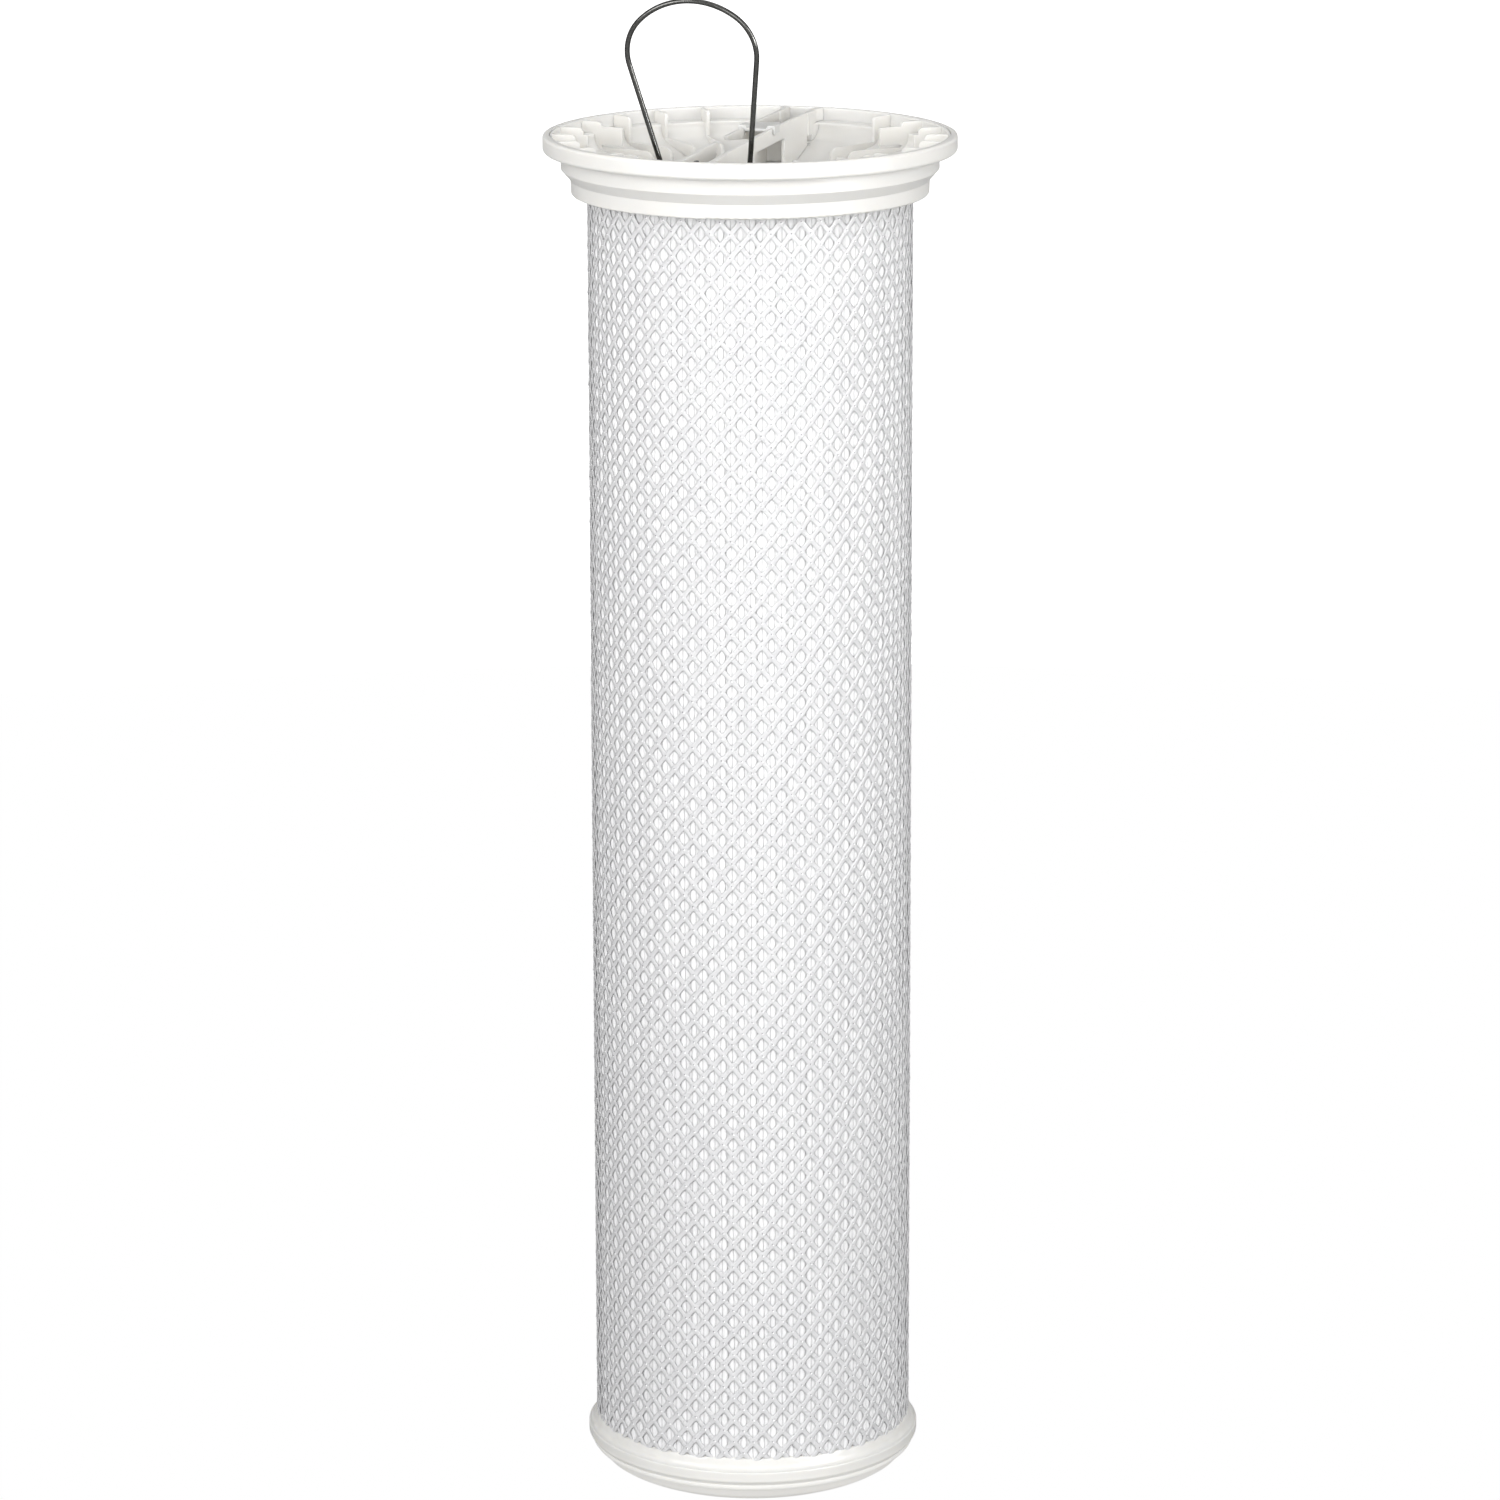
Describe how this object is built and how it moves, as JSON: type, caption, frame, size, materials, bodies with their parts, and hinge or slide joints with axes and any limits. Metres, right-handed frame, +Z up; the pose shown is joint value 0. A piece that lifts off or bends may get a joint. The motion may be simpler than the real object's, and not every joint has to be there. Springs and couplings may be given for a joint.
{
  "type": "filter cartridge",
  "caption": "Tall pleated filter cartridge in a net sleeve, with a flanged top ring, an open finned inlet funnel and a folding wire lifting bail.",
  "frame": {"origin": "on the cartridge axis at the underside of the bottom cap", "axes": "+Z up along the cartridge axis, rails of the handle bridge along Y, bail hinge along X near the -Y end"},
  "size_m": [0.226, 0.226, 0.8453],
  "materials": {
    "housing": "semi-gloss moulded, warm off-white",
    "clip": "semi-gloss moulded, bright white",
    "wire": "bright drawn stainless wire",
    "potting": "cast resin, satin",
    "core": "satin moulded",
    "media": "soft nonwoven, matt",
    "net": "extruded natural plastic, satin",
    "cap": "translucent cast resin, semi-gloss"
  },
  "bodies": {
    "cartridge": {"flange_ring": "housing", "inlet_funnel": "housing", "handle_bridge": "housing", "bridge_clip": "clip", "top_potting": "potting", "core_upper": "core", "core_middle": "core", "core_lower": "core", "pleated_media": "media", "side_seam": "potting", "net_sleeve": "net", "bottom_cap": "cap", "bottom_potting": "potting"},
    "bail": {"bail_handle": "wire"}
  },
  "joints": [
    {"name": "bail_fold", "type": "hinge", "parent": "cartridge", "child": "bail", "pos_m": [0, -0.0855, 0.7444], "axis": [1, 0, 0], "range_deg": [-89.5, 35]}
  ]
}
